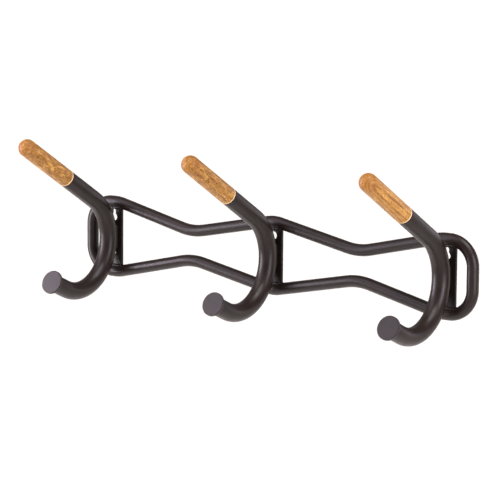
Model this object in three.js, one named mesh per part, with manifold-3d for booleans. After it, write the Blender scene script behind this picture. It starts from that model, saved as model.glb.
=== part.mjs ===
// A wall rack with a row of identical two-way hooks.
//
// A steel rod frame (a top and a bottom rail that meet in two D-shaped end loops) carries a flat
// steel plate behind each hook. Each hook is one bent steel tube with a turned wooden tip on its long
// upper arm and a flat round cap on its short lower end.
//
// Millimetres. +X runs along the rack, -Y points away from the wall, +Z is up. The wall is the
// plane Y = 0, and the origin lies on it, level with the rear of the hooks, behind the middle hook.

import * as THREE from 'three';
import { mergeVertices } from 'three/addons/utils/BufferGeometryUtils.js';
import Module from 'manifold-3d';

const wasm = await Module();
wasm.setup();

// ---------------------------------------------------------------- driving dimensions

const GAP = 0.3;                    // clearance left between pieces that touch

// frame rod
const ROD_R = 6.35;                 // half-inch round rod
const HOOK_SPACING = 214;           // from one hook to the next
const MIDDLE_PEAK = 36.7;           // height of the rail's bend points above the centre line
const END_PEAK = 38.4;
const WAIST = 14.9;
const END_PEAK_INSET = 6.8;         // the outer peaks bend this far inside the outer hooks
const END_REACH = 30.4;             // from an outer hook to the rod centre of the end loop
const PEAK_BEND = 39;               // bend radii, on the rod's centre line
const WAIST_BEND = 68;
const END_BEND = 27;

// wall plates
const PLATE_THICK = 3;
const PLATE_WIDTH = 22.2;
const SCREW_HOLE_Z = 21.6;          // centre of the round opening for an upper wall screw
const SCREW_HOLE_R = 4.2;
const SLOT_HALF_WIDTH = 2.4;        // in the outer plates a slot runs up from that opening
const SLOT_TOP_Z = 30.4;
const FIXING_HOLE_Z = -17.5;        // small hole for a lower wall screw
const FIXING_HOLE_R = 2.6;

// hook tubes
const TUBE_R = 9.525;               // three-quarter-inch tube
const TUBE_WALL = 1.5;
const HOOK_BEND = 52;
const ARM_BEND_DEG = 59;            // from vertical at the plate to the upper arm
const CURL_BEND_DEG = 114.6;        // from vertical at the plate round to the short end
const ARM_LENGTH = 129;             // straight arm, from the bend to the centre of the round tip
const CURL_LENGTH = 25.8;           // straight short end, from the bend to the cap's face

// wooden tips and end caps
const TIP_LENGTH = 74.6;            // from the joint with the tube to the centre of the round end
const SPIGOT_LENGTH = 22;
const SPIGOT_CHAMFER = 1;
const CAP_R = 12.7;
const CAP_THICK = 3;
const CAP_CHAMFER = 0.5;
const CAP_SPIGOT_LENGTH = 6;

// smoothness
const BEND_STEP = THREE.MathUtils.degToRad(9);
const ROD_SIDES = 20;
const BORE_SIDES = 12;
const TURN_SIDES = 20;
const TIP_RINGS = 5;

const HOOKS = [
  { side: 'left', x: -HOOK_SPACING, keyhole: true },
  { side: 'middle', x: 0, keyhole: false },
  { side: 'right', x: HOOK_SPACING, keyhole: true },
];
const ROD_Y = -ROD_R;                                        // the rails touch the wall
const PLATE_FRONT_Y = ROD_Y - PLATE_THICK / 2;
const HOOK_Y = PLATE_FRONT_Y - GAP - TUBE_R;                 // tube centre at the plate
const BORE_R = TUBE_R - TUBE_WALL;
const SPIGOT_R = BORE_R * Math.cos(Math.PI / BORE_SIDES) - GAP;

// ---------------------------------------------------------------- materials

const steel = () => new THREE.MeshStandardMaterial({ color: 0x453e3d, roughness: 0.55, metalness: 0.25 });
const blackSteel = () => new THREE.MeshStandardMaterial({ color: 0x332e2c, roughness: 0.6, metalness: 0.25 });
const capSteel = () => new THREE.MeshStandardMaterial({ color: 0x5f5a62, roughness: 0.5, metalness: 0.25 });
const wood = () => new THREE.MeshStandardMaterial({ color: 0xcf9552, roughness: 0.5, metalness: 0 });

// ---------------------------------------------------------------- bent rods and tubes

// A path in the YZ or XZ plane made of points that join straight stretches and bends. Points are
// placed only where the direction changes, so a straight stretch is one long step.
class BentPath extends THREE.Curve {
  constructor(points, tangents) {
    super();
    this.points = points;
    this.tangents = tangents;
  }

  get steps() {
    return this.points.length - 1;
  }

  getPoint(t, target = new THREE.Vector3()) {
    return target.copy(this.points[Math.round(t * this.steps)]);
  }

  getTangent(t, target = new THREE.Vector3()) {
    return target.copy(this.tangents[Math.round(t * this.steps)]);
  }

  getPointAt(u, target) {
    return this.getPoint(u, target);
  }

  getTangentAt(u, target) {
    return this.getTangent(u, target);
  }
}

// Follows a bending list, [{ straight }, { bend, radius }, ...], from a start point. The path stays
// in the plane of the two directions; a positive bend turns from forward towards side.
function bendPath(start, forward, side, list) {
  const at = start.clone();
  let dir = forward.clone();
  let left = side.clone();
  const points = [at.clone()];
  const tangents = [dir.clone()];
  for (const { straight = 0, bend = 0, radius = 0 } of list) {
    if (straight > 0) {
      at.addScaledVector(dir, straight);
      points.push(at.clone());
      tangents.push(dir.clone());
    }
    const count = Math.ceil(Math.abs(bend) / BEND_STEP - 1e-9);
    const sign = Math.sign(bend);
    const centre = at.clone().addScaledVector(left, sign * radius);
    const fromCentre = at.clone().sub(centre);
    const axis = dir.clone().cross(left);
    for (let i = 1; i <= count; i++) {
      const turn = bend * i / count;
      at.copy(centre).add(fromCentre.clone().applyAxisAngle(axis, turn));
      points.push(at.clone());
      tangents.push(dir.clone().applyAxisAngle(axis, turn));
    }
    dir = dir.applyAxisAngle(axis, bend);
    left = left.applyAxisAngle(axis, bend);
  }
  return new BentPath(points, tangents);
}

// A polygon with its corners on a circle.
function ring(radius, sides, path = new THREE.Shape()) {
  for (let i = 0; i < sides; i++) {
    const angle = 2 * Math.PI * i / sides;
    const [x, y] = [radius * Math.cos(angle), radius * Math.sin(angle)];
    i === 0 ? path.moveTo(x, y) : path.lineTo(x, y);
  }
  path.closePath();
  return path;
}

function sweep(path, radius, boreRadius = 0) {
  const section = ring(radius, ROD_SIDES);
  if (boreRadius > 0) section.holes.push(ring(boreRadius, BORE_SIDES, new THREE.Path()));
  return new THREE.ExtrudeGeometry(section, { extrudePath: path, steps: path.steps });
}

// ---------------------------------------------------------------- the frame

// Half a rail's bending list, from the butt joint half way up an end loop to the middle hook.
function railPath(up) {
  const peakX = HOOK_SPACING - END_PEAK_INSET;
  const waistX = HOOK_SPACING / 2;
  const fall = Math.atan2(END_PEAK - WAIST, peakX - waistX);
  const rise = Math.atan2(MIDDLE_PEAK - WAIST, waistX);
  const tangent = (radius, turn) => radius * Math.tan(turn / 2);
  const fallLength = Math.hypot(peakX - waistX, END_PEAK - WAIST);
  const riseLength = Math.hypot(waistX, MIDDLE_PEAK - WAIST);
  const half = [
    { straight: END_PEAK - END_BEND - GAP / 2 },
    { bend: Math.PI / 2, radius: END_BEND },
    { straight: END_REACH + END_PEAK_INSET - END_BEND - tangent(PEAK_BEND, fall) },
    { bend: fall, radius: PEAK_BEND },
    { straight: fallLength - tangent(PEAK_BEND, fall) - tangent(WAIST_BEND, fall + rise) },
    { bend: -(fall + rise), radius: WAIST_BEND },
    { straight: riseLength - tangent(WAIST_BEND, fall + rise) - tangent(PEAK_BEND, 2 * rise) },
  ];
  const list = [...half, { bend: 2 * rise, radius: PEAK_BEND }, ...half.toReversed()];
  const start = new THREE.Vector3(HOOK_SPACING + END_REACH, ROD_Y, up * GAP / 2);
  return bendPath(start, new THREE.Vector3(0, 0, up), new THREE.Vector3(-1, 0, 0), list);
}

const RAILS = { rail_top: railPath(1), rail_bottom: railPath(-1) };

// ---------------------------------------------------------------- solids for cutting

function toSolid(geometry) {
  const bare = geometry.clone();
  bare.deleteAttribute('normal');
  bare.deleteAttribute('uv');
  const merged = mergeVertices(bare, 1e-4);
  return new wasm.Manifold(new wasm.Mesh({
    numProp: 3,
    vertProperties: new Float32Array(merged.attributes.position.array),
    triVerts: new Uint32Array(merged.index.array),
  }));
}

function toGeometry(solid) {
  const { vertProperties, triVerts } = solid.getMesh();
  const geometry = new THREE.BufferGeometry();
  geometry.setAttribute('position', new THREE.BufferAttribute(new Float32Array(vertProperties), 3));
  geometry.setIndex(new THREE.BufferAttribute(new Uint32Array(triVerts), 1));
  geometry.computeVertexNormals();
  return geometry;
}

// ---------------------------------------------------------------- wall plates

function roundHole(z, radius) {
  return new THREE.Path().absarc(0, z, radius, 0, 2 * Math.PI, false);
}

// A round opening with a narrower slot above it that ends in a half circle.
function keyholeOutline() {
  const neck = Math.asin(SLOT_HALF_WIDTH / SCREW_HOLE_R);
  const path = new THREE.Path();
  path.absarc(0, SCREW_HOLE_Z, SCREW_HOLE_R, Math.PI / 2 + neck, Math.PI / 2 - neck + 2 * Math.PI, false);
  path.absarc(0, SLOT_TOP_Z - SLOT_HALF_WIDTH, SLOT_HALF_WIDTH, 0, Math.PI, false);
  path.closePath();
  return path;
}

// A flat bar with its two screw openings, its ends coped to fit against the two rails.
function wallPlate(x, keyhole) {
  const outline = new THREE.Shape();
  outline.moveTo(-PLATE_WIDTH / 2, -END_PEAK);
  outline.lineTo(PLATE_WIDTH / 2, -END_PEAK);
  outline.lineTo(PLATE_WIDTH / 2, END_PEAK);
  outline.lineTo(-PLATE_WIDTH / 2, END_PEAK);
  outline.closePath();
  const upperHole = keyhole ? keyholeOutline() : roundHole(SCREW_HOLE_Z, SCREW_HOLE_R);
  outline.holes.push(upperHole, roundHole(FIXING_HOLE_Z, FIXING_HOLE_R));
  const flat = { depth: PLATE_THICK, bevelEnabled: false, curveSegments: 10 };
  const bar = new THREE.ExtrudeGeometry(outline, flat);
  bar.rotateX(Math.PI / 2);
  bar.translate(x, ROD_Y + PLATE_THICK / 2, 0);
  let solid = toSolid(bar);
  for (const path of Object.values(RAILS)) {
    solid = solid.subtract(toSolid(sweep(path, ROD_R + GAP)));
  }
  return toGeometry(solid).translate(-x, 0, 0);
}

// ---------------------------------------------------------------- hooks

const radians = THREE.MathUtils.degToRad;

// The upper arm's and the short end's directions, and where each straight stretch begins.
function hookEnd(bendDeg, up) {
  const turn = radians(bendDeg);
  const direction = new THREE.Vector3(0, -Math.sin(turn), up * Math.cos(turn));
  const out = HOOK_BEND * (1 - Math.cos(turn));
  const start = new THREE.Vector3(0, HOOK_Y - out, up * HOOK_BEND * Math.sin(turn));
  return { direction, start };
}

const ARM = hookEnd(ARM_BEND_DEG, 1);
const CURL = hookEnd(CURL_BEND_DEG, -1);

// The tube stops short of the wooden tip and of the cap by the clearance between them.
function hookTube() {
  const armStraight = ARM_LENGTH - TIP_LENGTH;
  const curlStraight = CURL_LENGTH - CAP_THICK - GAP;
  const start = CURL.start.clone().addScaledVector(CURL.direction, curlStraight);
  const backwards = CURL.direction.clone().negate();
  const side = new THREE.Vector3(1, 0, 0).cross(backwards);
  const bend = radians(CURL_BEND_DEG + ARM_BEND_DEG);
  const path = bendPath(start, backwards, side, [
    { straight: curlStraight },
    { bend, radius: HOOK_BEND },
    { straight: armStraight },
  ]);
  return sweep(path, TUBE_R, BORE_R);
}

// Turns a profile of [radius, distance along the axis] pairs and lays its axis along a direction.
function turned(profile, origin, direction) {
  const points = profile.map(([radius, along]) => new THREE.Vector2(radius, along));
  const geometry = new THREE.LatheGeometry(points, TURN_SIDES);
  const quarter = new THREE.Quaternion().setFromUnitVectors(new THREE.Vector3(0, 1, 0), direction);
  geometry.applyQuaternion(quarter);
  return geometry.translate(origin.x, origin.y, origin.z);
}

// A wooden tip, as wide as the tube, with a round end and a spigot that plugs into the bore.
function woodTip() {
  const profile = [
    [0, GAP - SPIGOT_LENGTH],
    [SPIGOT_R - SPIGOT_CHAMFER, GAP - SPIGOT_LENGTH],
    [SPIGOT_R, GAP - SPIGOT_LENGTH + SPIGOT_CHAMFER],
    [SPIGOT_R, GAP],
    [TUBE_R, GAP],
  ];
  for (let i = 0; i <= TIP_RINGS; i++) {
    const angle = Math.PI / 2 * i / TIP_RINGS;
    profile.push([i < TIP_RINGS ? TUBE_R * Math.cos(angle) : 0, TIP_LENGTH + TUBE_R * Math.sin(angle)]);
  }
  const joint = ARM.start.clone().addScaledVector(ARM.direction, ARM_LENGTH - TIP_LENGTH);
  return turned(profile, joint, ARM.direction);
}

// A flat disc with chamfered rims over the tube's short end, with a spigot in the bore.
function endCap() {
  const profile = [
    [0, -CAP_THICK - CAP_SPIGOT_LENGTH],
    [SPIGOT_R, -CAP_THICK - CAP_SPIGOT_LENGTH],
    [SPIGOT_R, -CAP_THICK],
    [CAP_R - CAP_CHAMFER, -CAP_THICK],
    [CAP_R, -CAP_THICK + CAP_CHAMFER],
    [CAP_R, -CAP_CHAMFER],
    [CAP_R - CAP_CHAMFER, 0],
    [0, 0],
  ];
  const face = CURL.start.clone().addScaledVector(CURL.direction, CURL_LENGTH);
  return turned(profile, face, CURL.direction);
}

// ---------------------------------------------------------------- assembly

const rack = new THREE.Group();

function add(name, geometry, material, x = 0) {
  const mesh = new THREE.Mesh(geometry, material);
  mesh.name = name;
  mesh.position.x = x;
  rack.add(mesh);
}

for (const [name, path] of Object.entries(RAILS)) {
  add(name, sweep(path, ROD_R), steel());
}
for (const { side, x, keyhole } of HOOKS) {
  add(`wall_plate_${side}`, wallPlate(x, keyhole), blackSteel(), x);
  add(`hook_tube_${side}`, hookTube(), steel(), x);
  add(`wood_tip_${side}`, woodTip(), wood(), x);
  add(`end_cap_${side}`, endCap(), capSteel(), x);
}

export default rack;
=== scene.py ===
import math

import bmesh
import bpy
from mathutils import Matrix, Vector, noise


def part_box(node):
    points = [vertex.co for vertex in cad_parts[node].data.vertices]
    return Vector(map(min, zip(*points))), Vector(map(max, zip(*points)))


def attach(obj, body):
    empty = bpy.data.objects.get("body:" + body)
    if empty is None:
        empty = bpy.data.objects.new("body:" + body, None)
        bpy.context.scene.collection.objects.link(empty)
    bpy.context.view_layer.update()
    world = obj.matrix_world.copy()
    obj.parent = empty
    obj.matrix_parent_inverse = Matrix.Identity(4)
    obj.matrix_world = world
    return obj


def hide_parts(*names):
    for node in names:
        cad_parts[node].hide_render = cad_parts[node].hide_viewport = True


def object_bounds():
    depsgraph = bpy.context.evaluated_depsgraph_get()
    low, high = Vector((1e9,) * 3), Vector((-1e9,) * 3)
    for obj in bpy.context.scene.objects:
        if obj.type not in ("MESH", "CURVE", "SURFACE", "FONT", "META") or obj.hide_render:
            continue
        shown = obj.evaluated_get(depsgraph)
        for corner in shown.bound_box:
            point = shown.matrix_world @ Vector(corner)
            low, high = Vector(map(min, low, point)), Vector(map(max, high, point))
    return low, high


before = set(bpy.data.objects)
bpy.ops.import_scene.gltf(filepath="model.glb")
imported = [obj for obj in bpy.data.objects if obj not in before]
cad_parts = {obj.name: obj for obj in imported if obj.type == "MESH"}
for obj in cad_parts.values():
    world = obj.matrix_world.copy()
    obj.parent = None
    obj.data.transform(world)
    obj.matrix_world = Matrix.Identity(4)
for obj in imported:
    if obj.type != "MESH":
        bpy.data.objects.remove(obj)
cad_low, cad_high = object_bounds()

# The looks of a wall rack: a bent rod frame, keyhole plates, hooks of bent tube with turned wooden
# tips and round caps, and the weld beads that join them. Metres, in the frame's own axes: +X along
# the rack, -Y away from the wall, +Z up.

# ---------------------------------------------------------------- sizes

SIDES = ("left", "middle", "right")
X_AXIS, Y_AXIS, Z_AXIS = Vector((1, 0, 0)), Vector((0, 1, 0)), Vector((0, 0, 1))

# frame rod, from the top rail's box and its bending list
rail_low, rail_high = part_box("rail_top")
ROD_R = (rail_high.y - rail_low.y) / 2
ROD_Y = (rail_high.y + rail_low.y) / 2
END_X = rail_high.x - ROD_R
MIDDLE_PEAK = 0.0367
END_PEAK = 0.0384
WAIST = 0.0149
END_PEAK_INSET = 0.0068
PEAK_BEND = 0.039
WAIST_BEND = 0.068
END_BEND = 0.027

# hooks, from their boxes and their bending list
hook_low, hook_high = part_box("hook_tube_right")
HOOK_SPACING = (hook_low.x + hook_high.x) / 2
TUBE_R = (hook_high.x - hook_low.x) / 2
HOOK_Y = hook_high.y - TUBE_R
HOOK_BEND = 0.052
ARM_BEND = math.radians(59)
CURL_BEND = math.radians(114.6)
ARM_LENGTH = 0.129
CURL_LENGTH = 0.0258
TUBE_WALL = 0.0015
BORE_R = TUBE_R - TUBE_WALL
TIP_LENGTH = 0.0746
SPIGOT_LENGTH = 0.022
CAP_THICK = 0.003
CAP_SPIGOT = 0.006
cap_low, cap_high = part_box("end_cap_right")
CAP_R = (cap_high.x - cap_low.x) / 2

# wall plates, from the middle plate's box
plate_low, plate_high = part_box("wall_plate_middle")
PLATE_WIDTH = plate_high.x - plate_low.x
PLATE_THICK = plate_high.y - plate_low.y
PLATE_FRONT = plate_low.y
PLATE_BACK = plate_high.y
SCREW_HOLE_Z = 0.0216
SCREW_HOLE_R = 0.0042
SLOT_HALF = 0.0024
SLOT_TOP = 0.0304
FIXING_Z = -0.0175
FIXING_R = 0.0026
KEYHOLE_SIDES = ("left", "right")

EDGE_EASING = 0.0004            # rounding of the plates' edges
TUBE_LIP = 0.00045              # rounding of the tubes' cut ends
TIP_EASE = 0.0006               # rounding of the tips' shoulders
CAP_RIM = 0.0006                # rounding of the caps' rims
INTO_RAIL = 0.003               # how far the plates' ends run on into the rails
SPIGOT_CHAMFER = 0.001
FRAME_BEAD = 0.0017             # weld bead radius, plate to rail
HOOK_BEAD = 0.0015              # weld bead radius, hook to plate
BEAD_INSET = 0.0008             # how far a plate's beads stop short of its edges
BEAD_SINK = 0.0002              # how far they sink towards the rail
BEAD_STAND = 0.0001             # how far they stand off the plate's face
BEAD_LEAST = 0.00001            # a bead's radius never falls below this
BEAD_TAPER = 1.5                # length of a bead's tapered ends, in radii
RIPPLE = 0.0013                 # spacing of a bead's ripples
RIPPLE_DEPTH = 0.07             # as a share of the bead's radius
WOBBLE, WOBBLE_SCALE = 0.12, 400    # slow unevenness: share of the radius, and noise scale per metre
HOOK_BEAD_HALF = 0.0135         # half the height of a hook's welds
HOOK_BEAD_X = 0.0042            # how far beside the hook's middle they run

BEND_STEP = math.radians(2.5)
# the CAD's round ends and skins are faceted; these keep the smooth ones drawn here inside them
TIP_SHORT = 0.0001
SKIN_SHORT = 0.00003
ROUND = 56                      # facets round a rod, tube or turned piece
BEAD_ROUND = 20                 # facets round a weld bead
BEAD_STEPS = 48                 # rings along a weld bead
DOME_STEPS = 28                 # rings over a tip's round end
HOLE_STEPS, SLOT_STEPS = 40, 24
MERGE = 1e-7                    # points closer than this are one

hook_x = {side: (i - 1) * HOOK_SPACING for i, side in enumerate(SIDES)}


# ---------------------------------------------------------------- mesh helpers

def add_object(name, verts, faces, material, place=None, sharp=35):
    """A smooth-shaded mesh object whose normals point out; edges sharper than an angle stay crisp."""
    bm = bmesh.new()
    made = [bm.verts.new(v) for v in verts]
    for face in faces:
        bm.faces.new([made[i] for i in face])
    bmesh.ops.remove_doubles(bm, verts=bm.verts, dist=MERGE)
    bmesh.ops.recalc_face_normals(bm, faces=bm.faces)
    mesh = bpy.data.meshes.new(name)
    bm.to_mesh(mesh)
    bm.free()
    return wrap_mesh(name, mesh, material, place, sharp)


def wrap_mesh(name, mesh, material, place=None, sharp=35):
    """An object from a finished mesh, shaded smooth except at edges sharper than an angle."""
    mesh.shade_smooth()
    mesh.set_sharp_from_angle(angle=math.radians(sharp))
    mesh.materials.clear()
    mesh.materials.append(material)
    obj = bpy.data.objects.new(name, mesh)
    bpy.context.scene.collection.objects.link(obj)
    if place is not None:
        obj.matrix_world = place
    return obj


def loft(rings, closed=False):
    """Vertices and faces of a skin over rings of points that match one to one."""
    count, sides = len(rings), len(rings[0])
    verts = [point for ring in rings for point in ring]
    faces = []
    for i in range(count if closed else count - 1):
        a, b = i * sides, (i + 1) % count * sides
        faces += [(a + j, a + (j + 1) % sides, b + (j + 1) % sides, b + j) for j in range(sides)]
    if not closed:
        faces.append(tuple(range(sides)))
        faces.append(tuple(range((count - 1) * sides, count * sides)))
    return verts, faces


def ring(point, direction, normal, radius, along=0.0, sides=ROUND):
    """A circle round a point of a path that lies in the plane square to normal."""
    centre = point + direction * along
    across = normal.cross(direction)
    angles = [2 * math.pi * i / sides for i in range(sides)]
    return [centre + (across * math.cos(a) + normal * math.sin(a)) * radius for a in angles]


def quarter(radius, steps=5):
    """Steps round a small rounded edge: how far in from the end, and how far in from the side."""
    angles = [math.pi / 2 * i / steps for i in range(steps + 1)]
    return [(radius * (1 - math.sin(a)), radius * (1 - math.cos(a))) for a in angles]


def bend_path(start, forward, normal, moves):
    """Points and directions along a bent rod. moves lists (straight, bend, radius); bends turn about
    normal, left-handed when negative."""
    at, direction = start.copy(), forward.copy()
    path = [(at.copy(), direction.copy())]
    for straight, bend, radius in moves:
        if straight > 0:
            at = at + direction * straight
            path.append((at.copy(), direction.copy()))
        if bend:
            centre = at + normal.cross(direction) * math.copysign(radius, bend)
            arm, heading = at - centre, direction.copy()
            steps = math.ceil(abs(bend) / BEND_STEP)
            for i in range(1, steps + 1):
                turn = Matrix.Rotation(bend * i / steps, 3, normal)
                at, direction = centre + turn @ arm, turn @ heading
                path.append((at.copy(), direction.copy()))
    return path


def turned(name, profile, origin, axis, material, sharp=35):
    """A piece turned on a lathe: profile lists (radius, distance along the axis) from end to end."""
    centre = Vector((0, 0, 0))
    verts, faces = loft([ring(centre, axis, X_AXIS, r, along) for r, along in profile])
    # the end discs of a profile that starts and ends on the axis have no area, so they are left out
    return add_object(name, verts, faces[:-2], material, Matrix.Translation(origin), sharp)


# ---------------------------------------------------------------- materials

def linear(r, g, b):
    """A colour given as 8-bit display values, as the linear RGBA that shaders take."""
    def channel(value):
        value /= 255
        return value / 12.92 if value <= 0.04045 else ((value + 0.055) / 1.055) ** 2.4
    return (channel(r), channel(g), channel(b), 1.0)


WOOD_PALE = linear(182, 138, 68)
WOOD_GOLD = linear(138, 93, 34)
WOOD_BROWN = linear(112, 68, 20)
WOOD_DARK = linear(68, 34, 8)
WOOD_PORE = linear(72, 38, 14)
WOOD_END = linear(122, 74, 26)
# painted highlight: the pale band at a tip's joint
WOOD_JOINT_HIGHLIGHT = linear(222, 190, 140)
HEART = (0.018, -0.0087)        # middle of the growth rings, across the grain
RING_WIDTH = 0.003
RING_LEAN = 0.03                # how far the heart leans from the grain, per length
RING_SWAY = 0.005
JOINT_HIGHLIGHT_LENGTH = 0.002              # painted highlight: a paler band at a tip's joint, where its eased shoulder would catch the light
REDDEN_FROM = TIP_LENGTH - 0.014    # where a tip starts to redden towards its round end
REDDEN_TO = TIP_LENGTH + 0.002
WOOD_FIGURE = {"left": 0.12, "middle": 0.2, "right": 0.5}


class Nodes:
    """Short calls for building one material's node tree."""

    def __init__(self, name):
        self.material = bpy.data.materials.new(name)
        self.material.use_nodes = True
        self.tree = self.material.node_tree
        self.shader = self.tree.nodes["Principled BSDF"]
        self.place = self.add("ShaderNodeTexCoord").outputs["Object"]

    def add(self, kind, inputs=None, **settings):
        node = self.tree.nodes.new(kind)
        for key, value in settings.items():
            setattr(node, key, value)
        for key, value in (inputs or {}).items():
            self.set(node.inputs[key], value)
        return node

    def set(self, socket, value):
        if isinstance(value, bpy.types.NodeSocket):
            self.tree.links.new(value, socket)
        else:
            socket.default_value = value

    def noise(self, vector, scale, detail=2.0, roughness=0.5, distortion=0.0):
        inputs = {"Vector": vector, "Scale": scale, "Detail": detail}
        inputs |= {"Roughness": roughness, "Distortion": distortion}
        return self.add("ShaderNodeTexNoise", inputs).outputs["Fac"]

    def stretch(self, vector, scale, location=(0, 0, 0)):
        inputs = {"Vector": vector, "Scale": scale, "Location": location}
        return self.add("ShaderNodeMapping", inputs).outputs["Vector"]

    def ramp(self, value, stops):
        node = self.add("ShaderNodeValToRGB", {"Fac": value})
        elements = node.color_ramp.elements
        while len(elements) < len(stops):
            elements.new(0.5)
        for element, (position, colour) in zip(elements, stops):
            element.position, element.color = position, colour
        return node.outputs["Color"]

    def remap(self, value, low, high, to_low, to_high):
        inputs = {"Value": value, "From Min": low, "From Max": high}
        inputs |= {"To Min": to_low, "To Max": to_high}
        return self.add("ShaderNodeMapRange", inputs).outputs["Result"]

    def math(self, operation, a, b=0.0):
        node = self.add("ShaderNodeMath", operation=operation)
        self.set(node.inputs[0], a)
        self.set(node.inputs[1], b)
        return node.outputs[0]

    def mix(self, factor, a, b, blend="MIX"):
        node = self.add("ShaderNodeMix", data_type="RGBA", blend_type=blend)
        self.set(node.inputs["Factor"], factor)
        self.set(node.inputs["A"], a)
        self.set(node.inputs["B"], b)
        return node.outputs["Result"]

    def bump(self, height, strength, distance, under=None):
        inputs = {"Height": height, "Strength": strength, "Distance": distance}
        if under is not None:
            inputs["Normal"] = under
        return self.add("ShaderNodeBump", inputs).outputs["Normal"]

    def finish(self, **inputs):
        for key, value in inputs.items():
            self.set(self.shader.inputs[key.replace("_", " ")], value)
        return self.material


def powder_coat(name, dark, light, specular=0.21):
    """Satin powder coat: a slow change of tone, fine orange peel and a little uneven gloss."""
    n = Nodes(name)
    tone = n.noise(n.place, 45, detail=4)
    speck = n.noise(n.place, 2600, detail=1)
    colour = n.ramp(tone, [(0.32, dark), (0.7, light)])
    colour = n.mix(n.remap(speck, 0.62, 0.8, 0, 0.35), colour, light)
    peel = n.noise(n.place, 700, detail=2)
    grit = n.noise(n.place, 2200, detail=2)
    normal = n.bump(grit, 0.1, 0.00004, n.bump(peel, 0.14, 0.0001))
    gloss = n.remap(n.noise(n.place, 160, detail=3), 0.3, 0.7, 0.31, 0.4)
    n.set(n.shader.inputs["Specular IOR Level"], specular)
    return n.finish(Base_Color=colour, Roughness=gloss, Normal=normal)


def ring_depth(n, grain, seed):
    """Distance from the tree's heart, which lies beside the tip and leans a little away from it."""
    split = n.add("ShaderNodeSeparateXYZ", {"Vector": grain})
    lean = n.math("MULTIPLY", split.outputs["Z"], RING_LEAN)
    wander = n.noise(n.stretch(grain, (70, 70, 10), location=(seed, seed, seed)), 1, detail=3)
    sway = n.math("MULTIPLY", n.math("SUBTRACT", wander, 0.5), RING_SWAY)
    u = n.math("SUBTRACT", split.outputs["X"], HEART[0])
    v = n.math("ADD", n.math("SUBTRACT", split.outputs["Y"], HEART[1]), sway)
    square = n.math("ADD", n.math("MULTIPLY", u, u), n.math("MULTIPLY", v, v))
    return n.math("ADD", n.math("SQRT", square), n.math("ADD", lean, sway)), split.outputs["Z"]


def wood(name, seed, figure):
    """Oiled pale hardwood, its grain along the hooks' upper arms: growth rings, short brown flecks,
    fine fibres, open pores, a redder round end and a painted highlight at the joint. figure sets how
    strongly the rings show."""
    n = Nodes(name)
    upright = n.add("ShaderNodeMapping", {"Vector": n.place, "Rotation": (-ARM_BEND, 0, 0)})
    grain = upright.outputs["Vector"]
    shifted = n.stretch(grain, (1, 1, 1), location=(0.013 * seed, 0.021 * seed, 0.05 * seed))
    depth, along = ring_depth(n, grain, seed)
    rings = n.math("FRACT", n.math("DIVIDE", depth, RING_WIDTH))
    mottle = n.noise(n.stretch(shifted, (300, 300, 90)), 1, detail=4, roughness=0.7)
    fleck = n.noise(n.stretch(shifted, (1200, 1200, 330)), 1, detail=2, roughness=0.55)
    fibre = n.noise(n.stretch(shifted, (1100, 1100, 40)), 1, detail=3, roughness=0.65)
    pores = n.noise(n.stretch(shifted, (2600, 2600, 160)), 1, detail=1)
    base = n.ramp(mottle, [(0.34, WOOD_BROWN), (0.5, WOOD_GOLD), (0.64, WOOD_PALE)])
    ring_stops = [(0.0, WOOD_GOLD), (0.16, WOOD_DARK), (0.36, WOOD_GOLD), (0.95, WOOD_PALE)]
    ringed = n.ramp(rings, ring_stops)
    base = n.mix(figure, base, ringed)
    base = n.mix(n.remap(fleck, 0.53, 0.58, 0, 0.95 - 0.9 * figure), base, WOOD_DARK)
    base = n.mix(n.remap(fibre, 0.5, 0.72, 0, 0.55), base, WOOD_PALE)
    pore = n.remap(pores, 0.64, 0.72, 0, 1)
    colour = n.mix(n.math("MULTIPLY", pore, 0.45), base, WOOD_PORE)
    redden = n.remap(along, REDDEN_FROM, REDDEN_TO, 0, 0.35)
    colour = n.mix(redden, colour, WOOD_END)
    # painted highlight: a paler band at the joint, where the eased shoulder would catch the light
    colour = n.mix(n.remap(along, 0.6 * JOINT_HIGHLIGHT_LENGTH, JOINT_HIGHLIGHT_LENGTH, 0.9, 0), colour, WOOD_JOINT_HIGHLIGHT)
    height = n.math("SUBTRACT", n.math("MULTIPLY", fibre, 0.35), n.math("MULTIPLY", pore, 0.6))
    normal = n.bump(height, 0.25, 0.00015)
    gloss = n.remap(fibre, 0.3, 0.7, 0.38, 0.52)
    n.set(n.shader.inputs["Specular IOR Level"], 0.22)
    return n.finish(Base_Color=colour, Roughness=gloss, Normal=normal)


COAT = powder_coat("powder_coat", linear(22, 15, 12), linear(29, 21, 17))
# painted shade: a darker copy of the coat for the plates, which sit in the shadow of the hooks
COAT_PAINTED_SHADE = powder_coat("powder_coat_painted_shade", linear(18, 14, 11), linear(23, 18, 15))
# painted highlight: a lighter, greyer copy of the coat for the caps, whose faces catch the front light
COAT_PAINTED_HIGHLIGHT = powder_coat("powder_coat_painted_highlight", linear(30, 25, 25), linear(37, 31, 31))
WOODS = {side: wood(f"wood_{side}", i + 1, WOOD_FIGURE[side]) for i, side in enumerate(SIDES)}


# ---------------------------------------------------------------- frame rod

def half_rail():
    """The bending list from half way up an end loop to the middle hook."""
    peak_x = HOOK_SPACING - END_PEAK_INSET
    waist_x = HOOK_SPACING / 2
    fall = math.atan2(END_PEAK - WAIST, peak_x - waist_x)
    rise = math.atan2(MIDDLE_PEAK - WAIST, waist_x)
    at_peak = PEAK_BEND * math.tan(fall / 2)
    at_waist = WAIST_BEND * math.tan((fall + rise) / 2)
    at_middle = PEAK_BEND * math.tan(rise)
    outer = math.hypot(peak_x - waist_x, END_PEAK - WAIST) - at_peak - at_waist
    inner = math.hypot(waist_x, MIDDLE_PEAK - WAIST) - at_waist - at_middle
    return [
        (END_PEAK - END_BEND, math.pi / 2, END_BEND),
        (END_X - END_BEND - peak_x - at_peak, fall, PEAK_BEND),
        (outer, -(fall + rise), WAIST_BEND),
        (inner, rise, PEAK_BEND),
    ]


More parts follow.
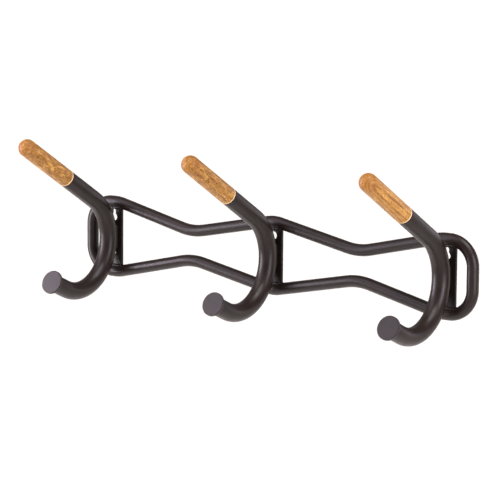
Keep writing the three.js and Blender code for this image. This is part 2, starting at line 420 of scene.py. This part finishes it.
def frame_loop():
    """The whole loop of rod, both rails and both end loops, from the middle of the right-hand end."""
    half = half_rail()
    back = [(0, half[-1][1], half[-1][2])]
    for i in range(len(half) - 1, 0, -1):
        back.append((half[i][0], half[i - 1][1], half[i - 1][2]))
    back.append((half[0][0], 0, 0))
    start = Vector((END_X, ROD_Y, 0))
    # turning from +Z towards -X is a turn about -Y
    return bend_path(start, Z_AXIS, -Y_AXIS, (half + back) * 2)[:-1]


def build_frame():
    """The bent rod, in one piece: both CAD rails."""
    path = frame_loop()
    verts, faces = loft([ring(p, d, -Y_AXIS, ROD_R - SKIN_SHORT) for p, d in path], closed=True)
    rod = add_object("frame_rod", verts, faces, COAT)
    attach(rod, "root")
    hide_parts("rail_top", "rail_bottom")


def rail_height(x):
    """Height of the top rail's centre line above x."""
    top = [p for p, _ in frame_loop() if p.z > WAIST]
    top.sort(key=lambda p: p.x)
    for a, b in zip(top, top[1:]):
        if a.x <= x <= b.x:
            return a.z + (b.z - a.z) * (x - a.x) / (b.x - a.x)
    return top[-1].z


# ---------------------------------------------------------------- wall plates

def arc(centre, radius, start, end, steps):
    """Points round part of a circle, both ends included."""
    angles = [start + (end - start) * i / steps for i in range(steps + 1)]
    return [(centre[0] + radius * math.cos(a), centre[1] + radius * math.sin(a)) for a in angles]


def keyhole():
    """A round opening with a narrower slot above it."""
    neck = math.asin(SLOT_HALF / SCREW_HOLE_R)
    opening = arc((0, SCREW_HOLE_Z), SCREW_HOLE_R, math.pi / 2 + neck, 5 * math.pi / 2 - neck,
                  HOLE_STEPS)
    return opening + arc((0, SLOT_TOP - SLOT_HALF), SLOT_HALF, 0, math.pi, SLOT_STEPS)


def round_hole(z, radius):
    return arc((0, z), radius, 0, 2 * math.pi, HOLE_STEPS)[:-1]


def build_plate(side):
    """A flat bar with eased edges and two screw openings. Its ends run on into the rails."""
    x = hook_x[side]
    name = f"wall_plate_{side}"
    half = PLATE_WIDTH / 2
    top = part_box(name)[1].z + INTO_RAIL
    outline = [(-half, -top), (half, -top), (half, top), (-half, top)]
    upper = keyhole() if side in KEYHOLE_SIDES else round_hole(SCREW_HOLE_Z, SCREW_HOLE_R)
    lower = round_hole(FIXING_Z, FIXING_R)
    curve = bpy.data.curves.new(name + "_outline", "CURVE")
    curve.dimensions, curve.fill_mode = "2D", "BOTH"
    curve.extrude = PLATE_THICK / 2 - EDGE_EASING
    curve.bevel_depth, curve.bevel_resolution, curve.offset = EDGE_EASING, 2, -EDGE_EASING
    for points in (outline, upper, lower):
        spline = curve.splines.new("POLY")
        spline.points.add(len(points) - 1)
        for point, (u, v) in zip(spline.points, points):
            point.co = (u, v, 0, 1)
        spline.use_cyclic_u = True
    holder = bpy.data.objects.new(name + "_outline", curve)
    bpy.context.scene.collection.objects.link(holder)
    bpy.context.view_layer.update()
    evaluated = holder.evaluated_get(bpy.context.evaluated_depsgraph_get())
    mesh = bpy.data.meshes.new_from_object(evaluated)
    bpy.data.objects.remove(holder)
    stand = Matrix.Rotation(math.pi / 2, 4, "X")
    mesh.transform(Matrix.Translation((x, (PLATE_FRONT + PLATE_BACK) / 2, 0)) @ stand)
    # the darker coat on the plates is painted shade
    plate = wrap_mesh(f"plate_{side}", mesh, COAT_PAINTED_SHADE, sharp=50)
    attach(plate, "root")
    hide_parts(name)


# ---------------------------------------------------------------- hooks

def hook_end(bend, up):
    """Where a hook's straight end starts, and its direction, for a hook at x = 0."""
    direction = Vector((0, -math.sin(bend), up * math.cos(bend)))
    start = Vector((0, HOOK_Y - HOOK_BEND * (1 - math.cos(bend)), up * HOOK_BEND * math.sin(bend)))
    return start, direction


ARM_START, ARM_DIR = hook_end(ARM_BEND, 1)
CURL_START, CURL_DIR = hook_end(CURL_BEND, -1)


def build_tube(side):
    """The bent tube, open at both ends, its cut edges slightly rounded."""
    shift = Vector((hook_x[side], 0, 0))
    curl = CURL_LENGTH - CAP_THICK
    arm = ARM_LENGTH - TIP_LENGTH
    start = CURL_START + CURL_DIR * curl + shift
    moves = [(curl, CURL_BEND + ARM_BEND, HOOK_BEND), (arm, 0, 0)]
    path = bend_path(start, -CURL_DIR, X_AXIS, moves)
    skin = TUBE_R - SKIN_SHORT
    first, last = path[0], path[-1]
    lip = quarter(TUBE_LIP)
    rings = [ring(*first, X_AXIS, skin - rounding, along=inward) for inward, rounding in reversed(lip)]
    rings += [ring(p, d, X_AXIS, skin) for p, d in path[1:-1]]
    rings += [ring(*last, X_AXIS, skin - rounding, along=-inward) for inward, rounding in lip]
    rings += [ring(p, d, X_AXIS, BORE_R) for p, d in reversed(path)]
    verts, faces = loft(rings, closed=True)
    tube = add_object(f"hook_{side}", verts, faces, COAT)
    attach(tube, "root")
    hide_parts(f"hook_tube_{side}")


def build_tip(side):
    """A turned wooden tip: a spigot in the bore, an eased shoulder, and a round end."""
    profile = [(0, -SPIGOT_LENGTH), (BORE_R - SPIGOT_CHAMFER, -SPIGOT_LENGTH)]
    profile += [(BORE_R, SPIGOT_CHAMFER - SPIGOT_LENGTH), (BORE_R, 0)]
    profile += [(TUBE_R - out, back) for back, out in reversed(quarter(TIP_EASE))]
    for i in range(DOME_STEPS + 1):
        angle = math.pi / 2 * i / DOME_STEPS
        radius = TUBE_R * math.cos(angle) if i < DOME_STEPS else 0
        profile.append((radius, TIP_LENGTH - TIP_SHORT + TUBE_R * math.sin(angle)))
    joint = ARM_START + ARM_DIR * (ARM_LENGTH - TIP_LENGTH) + Vector((hook_x[side], 0, 0))
    tip = turned(f"tip_{side}", profile, joint, ARM_DIR, WOODS[side])
    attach(tip, "root")
    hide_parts(f"wood_tip_{side}")


def build_cap(side):
    """A round disc with rounded rims over the tube's short end, its spigot in the bore."""
    spigot_end = -CAP_THICK - CAP_SPIGOT
    profile = [(0, spigot_end), (BORE_R, spigot_end), (BORE_R, -CAP_THICK)]
    profile += [(CAP_R - out, back - CAP_THICK) for back, out in reversed(quarter(CAP_RIM))]
    profile += [(CAP_R - out, -back) for back, out in quarter(CAP_RIM)]
    profile += [(CAP_R * share, 0) for share in (0.9, 0.6, 0.3, 0)]
    face = CURL_START + CURL_DIR * CURL_LENGTH + Vector((hook_x[side], 0, 0))
    # the lighter coat on the caps is painted highlight
    cap = turned(f"cap_{side}", profile, face, CURL_DIR, COAT_PAINTED_HIGHLIGHT)
    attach(cap, "root")
    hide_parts(f"end_cap_{side}")


# ---------------------------------------------------------------- weld beads

def bead(points, radius, seed):
    """Rings of a rippled weld bead along points, tapered to nothing at both ends."""
    rings = []
    travelled = 0.0
    total = sum((b - a).length for a, b in zip(points, points[1:]))
    for i, point in enumerate(points):
        before, after = points[max(i - 1, 0)], points[min(i + 1, len(points) - 1)]
        direction = (after - before).normalized()
        travelled += (point - before).length
        end = min(travelled, total - travelled) / (BEAD_TAPER * radius)
        taper = math.sqrt(max(0.0, 1 - (1 - min(end, 1)) ** 2))
        ripple = 1 + RIPPLE_DEPTH * math.sin(2 * math.pi * travelled / RIPPLE)
        ripple += WOBBLE * noise.noise(point * WOBBLE_SCALE + Vector((seed, 0, 0)))
        normal = X_AXIS if abs(direction.x) < 0.5 else Y_AXIS
        normal = (normal - direction * normal.dot(direction)).normalized()
        swell = max(radius * taper * ripple, BEAD_LEAST)
        rings.append(ring(point, direction, normal, swell, sides=BEAD_ROUND))
    return loft(rings)


def spread(half):
    """Evenly spaced places from -half to half, one for each ring of a bead."""
    return [-half + 2 * half * i / BEAD_STEPS for i in range(BEAD_STEPS + 1)]


def plate_beads(x, number):
    """Plate to rails: along both rails, front and back."""
    reach = PLATE_WIDTH / 2 - BEAD_INSET
    drop = math.sqrt(ROD_R ** 2 - (PLATE_THICK / 2) ** 2) + BEAD_SINK
    beads = []
    for up in (1, -1):
        for y, out in ((PLATE_FRONT, -1), (PLATE_BACK, 1)):
            line = [Vector((x + along, y + out * BEAD_STAND, up * (rail_height(x + along) - drop)))
                    for along in spread(reach)]
            beads.append(bead(line, FRAME_BEAD, number * 7 + up + out))
    return beads


def hook_beads(x, number):
    """Hook to plate: down both sides of the line where they touch."""
    beads = []
    flank = math.sqrt(TUBE_R ** 2 - HOOK_BEAD_X ** 2)
    for sign in (1, -1):
        line = []
        for z in spread(HOOK_BEAD_HALF):
            rear = HOOK_Y - HOOK_BEND + math.sqrt(HOOK_BEND ** 2 - z * z) + flank
            line.append(Vector((x + sign * HOOK_BEAD_X, (rear + PLATE_FRONT) / 2, z)))
        beads.append(bead(line, HOOK_BEAD, number * 11 + sign))
    return beads


def build_welds(side, number):
    """All the beads round one plate and hook, as one piece."""
    verts, faces = [], []
    x = hook_x[side]
    for part_verts, part_faces in plate_beads(x, number) + hook_beads(x, number):
        offset = len(verts)
        verts += part_verts
        faces += [tuple(i + offset for i in face) for face in part_faces]
    weld = add_object(f"welds_{side}", verts, faces, COAT, sharp=60)
    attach(weld, "root")


build_frame()
for number, side in enumerate(SIDES):
    build_plate(side)
    build_tube(side)
    build_tip(side)
    build_cap(side)
    build_welds(side, number)


# ---------------------------------------------------------------- studio

FLOOR_Z = -1.3                  # the floor, below a rack at coat height
FLOOR_HALF = 60                 # wide enough to fill the view behind the rack
FLOOR_DARK, FLOOR_LIGHT = linear(238, 237, 231), linear(242, 241, 235)
MIDDLE = (cad_low + cad_high) / 2
SOFTBOX_TINT = (0.96, 0.88, 1.0)
SENSOR_WIDTH, LENS = 36, 201.81
CAMERA_REACH = 300


def build_floor():
    """A pale, slightly uneven floor."""
    n = Nodes("pale_floor")
    tone = n.noise(n.place, 0.4, detail=2)
    n.finish(Base_Color=n.ramp(tone, [(0.0, FLOOR_DARK), (1.0, FLOOR_LIGHT)]), Roughness=0.9)
    signs = ((-1, -1), (1, -1), (1, 1), (-1, 1))
    corners = [(x * FLOOR_HALF, y * FLOOR_HALF, FLOOR_Z) for x, y in signs]
    floor = add_object("floor", corners, [(0, 1, 2, 3)], n.material)


def direction(azimuth, elevation):
    """A unit vector from two angles in degrees; azimuth 0 is straight out from the wall, 90 is +X."""
    a, e = math.radians(azimuth), math.radians(elevation)
    return Vector((math.sin(a) * math.cos(e), -math.cos(a) * math.cos(e), math.sin(e)))


def add_light(kind, name, azimuth, elevation, distance=0.0):
    """A light that faces the rack's middle."""
    light = bpy.data.lights.new(name, kind)
    obj = bpy.data.objects.new(name, light)
    out = direction(azimuth, elevation)
    obj.location = MIDDLE + out * distance
    obj.rotation_mode = "QUATERNION"
    obj.rotation_quaternion = out.to_track_quat("Z", "Y")
    bpy.context.scene.collection.objects.link(obj)
    return light


def add_softbox(name, azimuth, elevation, distance, size, radiance):
    """A rectangular panel, its energy set so that it looks equally bright at any size."""
    light = add_light("AREA", name, azimuth, elevation, distance)
    light.shape = "RECTANGLE"
    light.size, light.size_y = size
    light.energy, light.color = math.pi * size[0] * size[1] * radiance, SOFTBOX_TINT


def build_world():
    """Dim grey surroundings, a little darker overhead."""
    world = bpy.data.worlds.new("studio")
    world.use_nodes = True
    tree = world.node_tree
    way = tree.nodes.new("ShaderNodeTexCoord").outputs["Generated"]
    split = tree.nodes.new("ShaderNodeSeparateXYZ")
    tree.links.new(way, split.inputs[0])
    ramp = tree.nodes.new("ShaderNodeValToRGB")
    tree.links.new(split.outputs["Z"], ramp.inputs["Fac"])
    ramp.color_ramp.elements[0].color = (0.42, 0.39, 0.43, 1)
    ramp.color_ramp.elements[1].color = (0.3, 0.28, 0.3, 1)
    tree.links.new(ramp.outputs["Color"], tree.nodes["Background"].inputs["Color"])
    bpy.context.scene.world = world


def build_lights():
    """A broad top light, three soft panels to the front left and two to the right."""
    top = add_light("SUN", "top", 72, 66)
    top.energy, top.angle, top.color = 3.3, math.radians(40), (1.0, 0.98, 0.97)
    add_softbox("front_wide", -44, 16, 1.9, (1.7, 1.9), 3.1)
    add_softbox("front_core", -56, 2, 1.8, (0.55, 1.3), 19.5)
    add_softbox("front_high", -35, 58, 1.8, (1.2, 0.8), 3.5)
    add_softbox("right", 76, 8, 1.8, (0.75, 1.2), 12.0)
    add_softbox("back_right", 158, 4, 2.2, (1.6, 0.8), 1.3)


def build_camera():
    """The viewing angle: from the right, a little above, with a long lens."""
    azimuth, elevation, roll = 35.69, 9.09, math.radians(0.45)
    distance = 2.9698
    aim = Vector((-0.0311, ROD_Y, 0.0027))
    back = direction(azimuth, elevation)
    right = direction(azimuth + 90, 0)
    up = back.cross(right)
    rolled_right = right * math.cos(roll) + up * math.sin(roll)
    rolled_up = up * math.cos(roll) - right * math.sin(roll)
    basis = Matrix((rolled_right, rolled_up, back)).transposed().to_4x4()
    data = bpy.data.cameras.new("camera")
    data.lens, data.sensor_width, data.clip_end = LENS, SENSOR_WIDTH, CAMERA_REACH
    camera = bpy.data.objects.new("camera", data)
    camera.matrix_world = Matrix.Translation(aim + back * distance) @ basis
    bpy.context.scene.collection.objects.link(camera)
    bpy.context.scene.camera = camera


build_floor()
build_world()
build_lights()
build_camera()
bpy.context.scene.view_settings.view_transform = "Standard"
